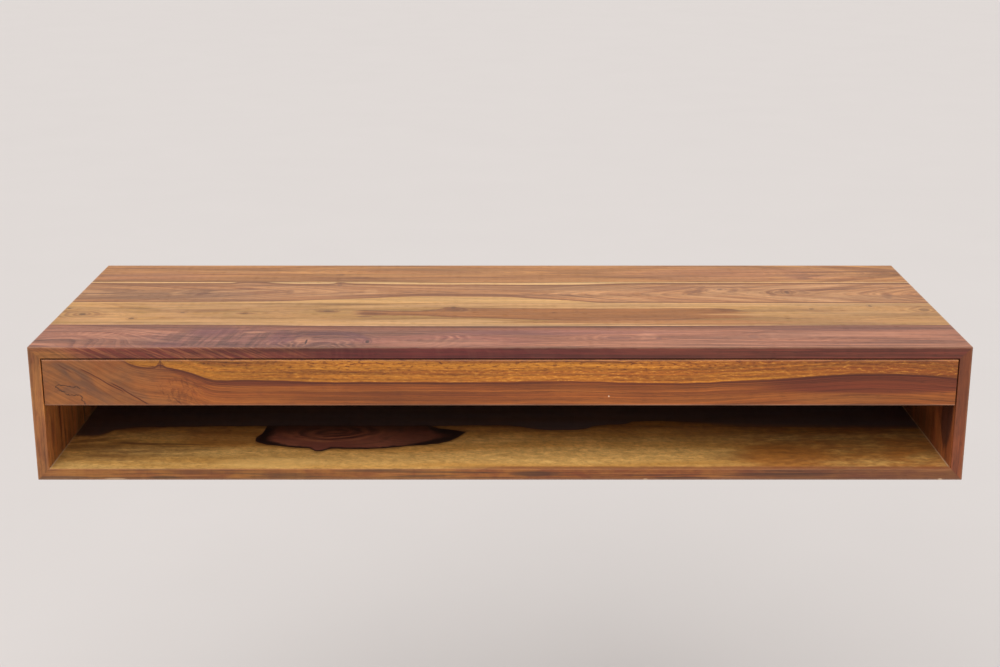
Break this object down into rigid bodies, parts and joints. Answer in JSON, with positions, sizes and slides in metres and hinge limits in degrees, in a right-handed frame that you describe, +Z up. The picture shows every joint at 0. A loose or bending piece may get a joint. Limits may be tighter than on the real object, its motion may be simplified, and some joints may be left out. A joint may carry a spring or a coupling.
{
  "type": "floating wall desk",
  "caption": "Mitred hardwood box that hangs on a wall, with a full-width drawer under the worktop and an open shelf below it.",
  "frame": {"origin": "on the wall plane, at the middle of the line of screws that holds the wall cleat", "axes": "+X to the right as a person in front of the desk sees it, +Y into the wall, +Z up"},
  "size_m": [1.1, 0.4, 0.165],
  "materials": {
    "oiled_rosewood": "satin oil over mixed heartwood and sapwood staves",
    "spline_wood": "bare hardwood, glued in",
    "back_plywood": "dark stained plywood",
    "cleat_wood": "bare planed hardwood",
    "drawer_box_wood": "clear sealed hardwood",
    "drawer_plywood": "clear sealed plywood",
    "zinc_plated_steel": "bright zinc plating on rolled sheet",
    "retainer_steel": "plain steel strip, greased",
    "ball_steel": "polished bearing steel",
    "screw_steel": "yellow zinc plating",
    "black_plastic": "moulded black plastic"
  },
  "bodies": {
    "carcass": {"back_panel": "back_plywood", "batten_screws": "screw_steel", "bottom_stave_front": "oiled_rosewood", "bottom_stave_middle": "oiled_rosewood", "bottom_stave_rear": "oiled_rosewood", "corner_spline_bottom_left": "spline_wood", "corner_spline_bottom_right": "spline_wood", "corner_spline_top_left": "spline_wood", "corner_spline_top_right": "spline_wood", "hanging_cleat": "cleat_wood", "hanging_cleat_screws": "screw_steel", "left_side_stave_front": "oiled_rosewood", "left_side_stave_mid_front": "oiled_rosewood", "left_side_stave_mid_rear": "oiled_rosewood", "left_side_stave_rear": "oiled_rosewood", "lower_batten": "cleat_wood", "outer_runner_screws_left": "screw_steel", "outer_runner_screws_right": "screw_steel", "right_side_stave_front": "oiled_rosewood", "right_side_stave_mid_front": "oiled_rosewood", "right_side_stave_mid_rear": "oiled_rosewood", "right_side_stave_rear": "oiled_rosewood", "runner_outer_member_left": "zinc_plated_steel", "runner_outer_member_right": "zinc_plated_steel", "runner_rear_bumper_left": "black_plastic", "runner_rear_bumper_right": "black_plastic", "top_stave_front": "oiled_rosewood", "top_stave_mid_front": "oiled_rosewood", "top_stave_mid_rear": "oiled_rosewood", "top_stave_rear": "oiled_rosewood", "wall_cleat": "cleat_wood"},
    "drawer": {"drawer_back": "drawer_box_wood", "drawer_bottom": "drawer_plywood", "drawer_front": "oiled_rosewood", "drawer_front_screws": "screw_steel", "drawer_side_left": "drawer_box_wood", "drawer_side_right": "drawer_box_wood", "drawer_sub_front": "drawer_box_wood", "inner_runner_screws_left": "screw_steel", "inner_runner_screws_right": "screw_steel", "lever_rivet_left": "screw_steel", "lever_rivet_right": "screw_steel", "runner_inner_member_left": "zinc_plated_steel", "runner_inner_member_right": "zinc_plated_steel"},
    "middle_member_left": {"runner_middle_member_left": "zinc_plated_steel"},
    "outer_ball_cage_left": {"outer_ball_retainer_left": "retainer_steel", "outer_balls_left": "ball_steel"},
    "inner_ball_cage_left": {"inner_ball_retainer_left": "retainer_steel", "inner_balls_left": "ball_steel"},
    "release_lever_left": {"release_lever_left": "black_plastic"},
    "middle_member_right": {"runner_middle_member_right": "zinc_plated_steel"},
    "outer_ball_cage_right": {"outer_ball_retainer_right": "retainer_steel", "outer_balls_right": "ball_steel"},
    "inner_ball_cage_right": {"inner_ball_retainer_right": "retainer_steel", "inner_balls_right": "ball_steel"},
    "release_lever_right": {"release_lever_right": "black_plastic"}
  },
  "joints": [
    {"name": "drawer_slide", "type": "slide", "parent": "carcass", "child": "drawer", "axis": [0, -1, 0], "range_m": [0, 0.35]},
    {"name": "middle_member_slide_left", "type": "slide", "parent": "carcass", "child": "middle_member_left", "axis": [0, -1, 0], "range_m": [0, 0.175]},
    {"name": "outer_ball_cage_slide_left", "type": "slide", "parent": "carcass", "child": "outer_ball_cage_left", "axis": [0, -1, 0], "range_m": [0, 0.0875]},
    {"name": "inner_ball_cage_slide_left", "type": "slide", "parent": "carcass", "child": "inner_ball_cage_left", "axis": [0, -1, 0], "range_m": [0, 0.2625]},
    {"name": "release_lever_turn_left", "type": "hinge", "parent": "drawer", "child": "release_lever_left", "pos_m": [-0.52525, -0.218, 0.045], "axis": [1, 0, 0], "range_deg": [-6, 6], "stiffness_Nm_per_rad": 0.02},
    {"name": "middle_member_slide_right", "type": "slide", "parent": "carcass", "child": "middle_member_right", "axis": [0, -1, 0], "range_m": [0, 0.175]},
    {"name": "outer_ball_cage_slide_right", "type": "slide", "parent": "carcass", "child": "outer_ball_cage_right", "axis": [0, -1, 0], "range_m": [0, 0.0875]},
    {"name": "inner_ball_cage_slide_right", "type": "slide", "parent": "carcass", "child": "inner_ball_cage_right", "axis": [0, -1, 0], "range_m": [0, 0.2625]},
    {"name": "release_lever_turn_right", "type": "hinge", "parent": "drawer", "child": "release_lever_right", "pos_m": [0.52525, -0.218, 0.045], "axis": [1, 0, 0], "range_deg": [-6, 6], "stiffness_Nm_per_rad": 0.02}
  ],
  "couplings": [
    {"joint": "middle_member_slide_left", "follows": "drawer_slide", "ratio": 0.5},
    {"joint": "outer_ball_cage_slide_left", "follows": "drawer_slide", "ratio": 0.25},
    {"joint": "inner_ball_cage_slide_left", "follows": "drawer_slide", "ratio": 0.75},
    {"joint": "middle_member_slide_right", "follows": "drawer_slide", "ratio": 0.5},
    {"joint": "outer_ball_cage_slide_right", "follows": "drawer_slide", "ratio": 0.25},
    {"joint": "inner_ball_cage_slide_right", "follows": "drawer_slide", "ratio": 0.75}
  ]
}
